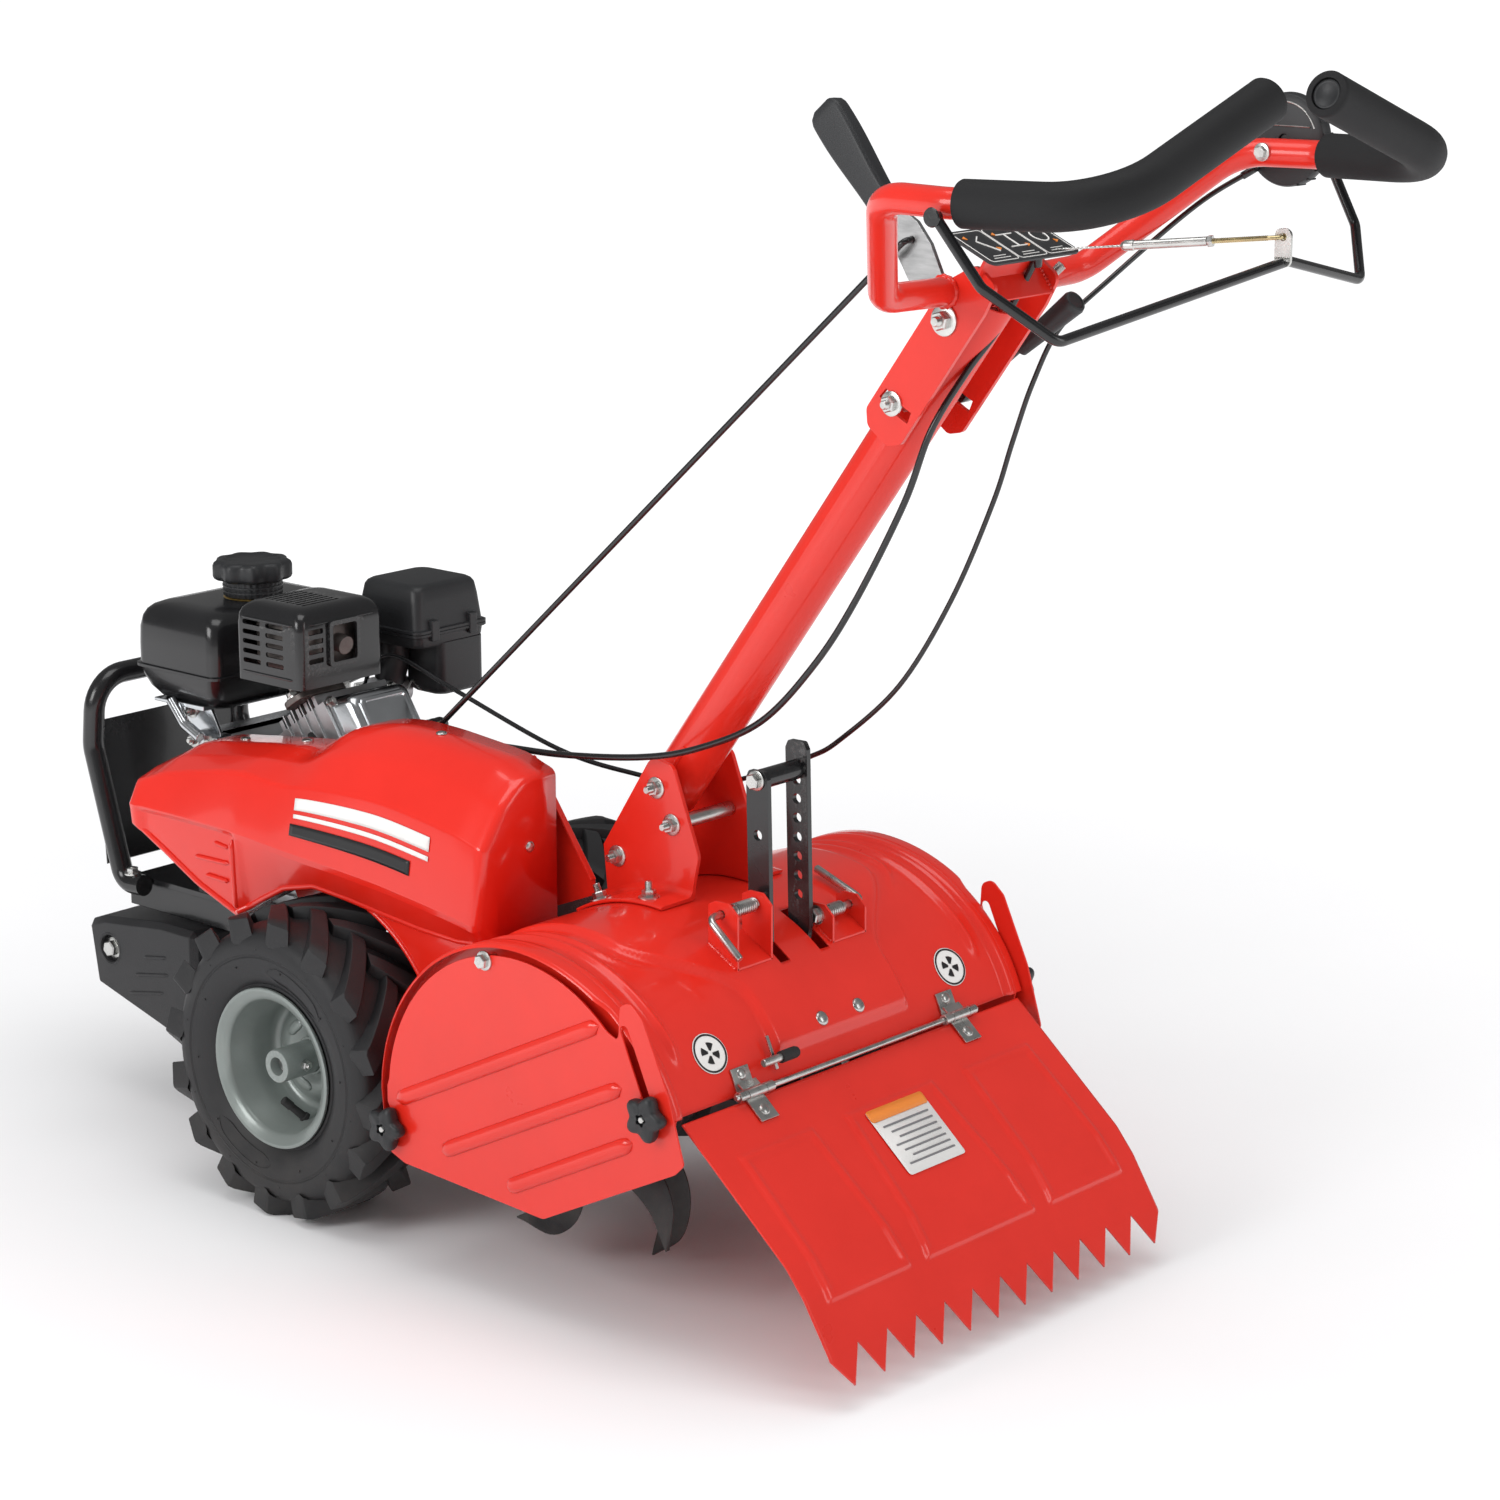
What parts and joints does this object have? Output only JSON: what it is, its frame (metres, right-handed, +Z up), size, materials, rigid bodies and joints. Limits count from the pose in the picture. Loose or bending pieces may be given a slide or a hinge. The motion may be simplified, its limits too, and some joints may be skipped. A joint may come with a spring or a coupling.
{
  "type": "rear tine tiller",
  "caption": "Walk-behind rear-tine tiller: engine and belt drive in front, ag-tyre wheels, hooded counter tines with drop shields, hinged flap, depth stake and tilting handlebar.",
  "frame": {"origin": "on the ground, on the machine's mid-plane, straight below the wheel axle", "axes": "+X forwards (the engine end), +Y to the machine's left, +Z up; the handlebar trails towards -X"},
  "size_m": [1.6081, 0.6381, 1.272],
  "materials": {
    "black_enamel": "gloss black enamel",
    "red_enamel": "gloss red enamel",
    "cover_red": "red moulded cover",
    "iron": "dark painted casting",
    "moulded_weight": "textured black moulding",
    "black_plastic": "satin black moulding",
    "foam": "matt foam sleeve",
    "tyre": "field tyre rubber",
    "belt": "v-belt rubber",
    "zinc": "bright zinc plate",
    "steel": "plain machined steel",
    "aluminium": "as-cast aluminium",
    "rim_silver": "silver-grey wheel paint",
    "tine_steel": "black painted tine steel"
  },
  "bodies": {
    "chassis": {"frame": "black_enamel", "gearbox_case": "iron", "front_bumper": "black_enamel", "counterweight": "moulded_weight", "belt_cover": "cover_red", "engine_block": "aluminium", "valve_cover": "aluminium", "fuel_tank": "black_enamel", "muffler": "steel", "muffler_shield": "black_enamel", "air_filter_box": "black_plastic", "recoil_starter": "black_enamel", "drive_belt": "belt", "tine_hood": "red_enamel", "hinge_rod": "zinc", "left_column_plate": "red_enamel", "right_column_plate": "red_enamel", "column_tube": "red_enamel", "handle_pivot_bolt": "zinc", "drive_cable": "black_plastic"},
    "drive_wheels": {"wheel_axle": "steel", "left_tyre": "tyre", "right_tyre": "tyre", "left_rim": "rim_silver", "right_rim": "rim_silver"},
    "tine_rotor": {"tine_shaft": "tine_steel", "left_tine_rotor": "tine_steel", "right_tine_rotor": "tine_steel"},
    "crank": {"engine_pulley": "steel"},
    "input_shaft": {"gearbox_pulley": "steel"},
    "idler_lever": {"idler_arm": "steel"},
    "idler_wheel": {"idler_pulley": "steel"},
    "fuel_cap": {"fuel_cap": "black_plastic"},
    "starter_grip": {"starter_handle": "black_plastic"},
    "left_shield": {"left_side_shield": "red_enamel"},
    "right_shield": {"right_side_shield": "red_enamel"},
    "left_front_knob": {"left_front_knob": "black_plastic"},
    "left_rear_knob": {"left_rear_knob": "black_plastic"},
    "right_front_knob": {"right_front_knob": "black_plastic"},
    "right_rear_knob": {"right_rear_knob": "black_plastic"},
    "flap": {"rear_flap": "red_enamel", "left_flap_hinge": "zinc", "right_flap_hinge": "zinc"},
    "depth_stake": {"depth_bar_long": "black_enamel", "depth_bar_short": "black_enamel", "depth_bar_spacer": "black_enamel"},
    "left_pin": {"left_lock_pin": "zinc"},
    "right_pin": {"right_lock_pin": "zinc"},
    "handlebar": {"handlebar": "red_enamel", "left_grip": "foam", "right_grip": "foam", "throttle_housing": "black_plastic", "control_panel": "black_plastic"},
    "bail": {"drive_bail": "black_enamel"},
    "turnbuckle": {"cable_turnbuckle": "zinc"},
    "gear_lever": {"shift_lever": "steel"},
    "gear_rod": {"shift_rod": "black_enamel"},
    "gear_arm": {"shift_arm": "steel"},
    "clamp": {"clamp_lever": "black_enamel"},
    "throttle": {"throttle_lever": "black_plastic"}
  },
  "joints": [
    {"name": "wheel_spin", "type": "hinge", "parent": "chassis", "child": "drive_wheels", "pos_m": [0, 0, 0.17], "axis": [0, 1, 0], "continuous": true},
    {"name": "tine_spin", "type": "hinge", "parent": "chassis", "child": "tine_rotor", "pos_m": [-0.39, 0, 0.178], "axis": [0, 1, 0], "continuous": true},
    {"name": "crank_spin", "type": "hinge", "parent": "chassis", "child": "crank", "pos_m": [0.245, 0.13, 0.397], "axis": [0, 1, 0], "continuous": true},
    {"name": "input_shaft_spin", "type": "hinge", "parent": "chassis", "child": "input_shaft", "pos_m": [-0.1, 0.13, 0.43], "axis": [0, 1, 0], "continuous": true},
    {"name": "idler_swing", "type": "hinge", "parent": "chassis", "child": "idler_lever", "pos_m": [-0.048, 0, 0.372], "axis": [0, -1, 0], "range_deg": [0, 1.5]},
    {"name": "idler_spin", "type": "hinge", "parent": "idler_lever", "child": "idler_wheel", "pos_m": [0.09, 0.13, 0.436], "axis": [0, 1, 0], "continuous": true},
    {"name": "fuel_cap_turn", "type": "hinge", "parent": "chassis", "child": "fuel_cap", "pos_m": [0.34, -0.022, 0.63], "axis": [0, 0, 1], "range_deg": [0, 90]},
    {"name": "starter_pull", "type": "slide", "parent": "chassis", "child": "starter_grip", "axis": [-0.9207, 0, 0.3903], "range_m": [0, 0.3]},
    {"name": "left_shield_drop", "type": "slide", "parent": "chassis", "child": "left_shield", "axis": [-0.4141, 0, -0.9102], "range_m": [0, 0.085]},
    {"name": "right_shield_drop", "type": "slide", "parent": "chassis", "child": "right_shield", "axis": [-0.4141, 0, -0.9102], "range_m": [0, 0.085]},
    {"name": "left_front_knob_turn", "type": "hinge", "parent": "chassis", "child": "left_front_knob", "pos_m": [-0.206, 0.2875, 0.158], "axis": [0, 1, 0], "continuous": true},
    {"name": "left_rear_knob_turn", "type": "hinge", "parent": "chassis", "child": "left_rear_knob", "pos_m": [-0.576, 0.2875, 0.256], "axis": [0, 1, 0], "continuous": true},
    {"name": "right_front_knob_turn", "type": "hinge", "parent": "chassis", "child": "right_front_knob", "pos_m": [-0.206, -0.2875, 0.158], "axis": [0, 1, 0], "continuous": true},
    {"name": "right_rear_knob_turn", "type": "hinge", "parent": "chassis", "child": "right_rear_knob", "pos_m": [-0.576, -0.2875, 0.256], "axis": [0, 1, 0], "continuous": true},
    {"name": "flap_lift", "type": "hinge", "parent": "chassis", "child": "flap", "pos_m": [-0.6015, 0, 0.255], "axis": [0, 1, 0], "range_deg": [0, 100]},
    {"name": "depth_stake_slide", "type": "slide", "parent": "chassis", "child": "depth_stake", "axis": [-0.0262, 0, -0.9997], "range_m": [0, 0.1]},
    {"name": "left_pin_pull", "type": "slide", "parent": "chassis", "child": "left_pin", "axis": [0, 1, 0], "range_m": [0, 0.012]},
    {"name": "right_pin_pull", "type": "slide", "parent": "chassis", "child": "right_pin", "axis": [0, -1, 0], "range_m": [0, 0.012]},
    {"name": "handlebar_tilt", "type": "hinge", "parent": "chassis", "child": "handlebar", "pos_m": [-0.74, 0, 1.026], "axis": [0, 1, 0], "range_deg": [-10, 5]},
    {"name": "bail_squeeze", "type": "hinge", "parent": "handlebar", "child": "bail", "pos_m": [-0.932, 0, 1.159], "axis": [0, 1, 0], "range_deg": [0, 26]},
    {"name": "turnbuckle_swing", "type": "hinge", "parent": "bail", "child": "turnbuckle", "pos_m": [-1.018, -0.1, 1.113], "axis": [0, 1, 0], "range_deg": [-16.4, 0]},
    {"name": "gear_lever_swing", "type": "hinge", "parent": "chassis", "child": "gear_lever", "pos_m": [-0.74, 0, 1.026], "axis": [0, 1, 0], "range_deg": [-20, 20]},
    {"name": "gear_rod_swing", "type": "hinge", "parent": "gear_lever", "child": "gear_rod", "pos_m": [-0.69, 0, 1.097], "axis": [0, 1, 0], "range_deg": [-20, 20]},
    {"name": "gear_arm_swing", "type": "hinge", "parent": "chassis", "child": "gear_arm", "pos_m": [-0.08, 0, 0.424], "axis": [0, 1, 0], "range_deg": [-20, 20]},
    {"name": "clamp_release", "type": "hinge", "parent": "chassis", "child": "clamp", "pos_m": [-0.6765, 0, 0.93988], "axis": [0, -1, 0], "range_deg": [0, 80]},
    {"name": "throttle_swing", "type": "hinge", "parent": "handlebar", "child": "throttle", "pos_m": [-0.88, -0.302, 1.179], "axis": [0, 1, 0], "range_deg": [0, 50]}
  ],
  "couplings": [
    {"joint": "input_shaft_spin", "follows": "crank_spin", "ratio": 0.4662},
    {"joint": "idler_spin", "follows": "crank_spin", "ratio": -1.7222},
    {"joint": "idler_swing", "follows": "bail_squeeze", "ratio": 0.042},
    {"joint": "turnbuckle_swing", "follows": "bail_squeeze", "ratio": -0.623},
    {"joint": "gear_rod_swing", "follows": "gear_lever_swing", "ratio": -1},
    {"joint": "gear_arm_swing", "follows": "gear_lever_swing", "ratio": 1}
  ]
}
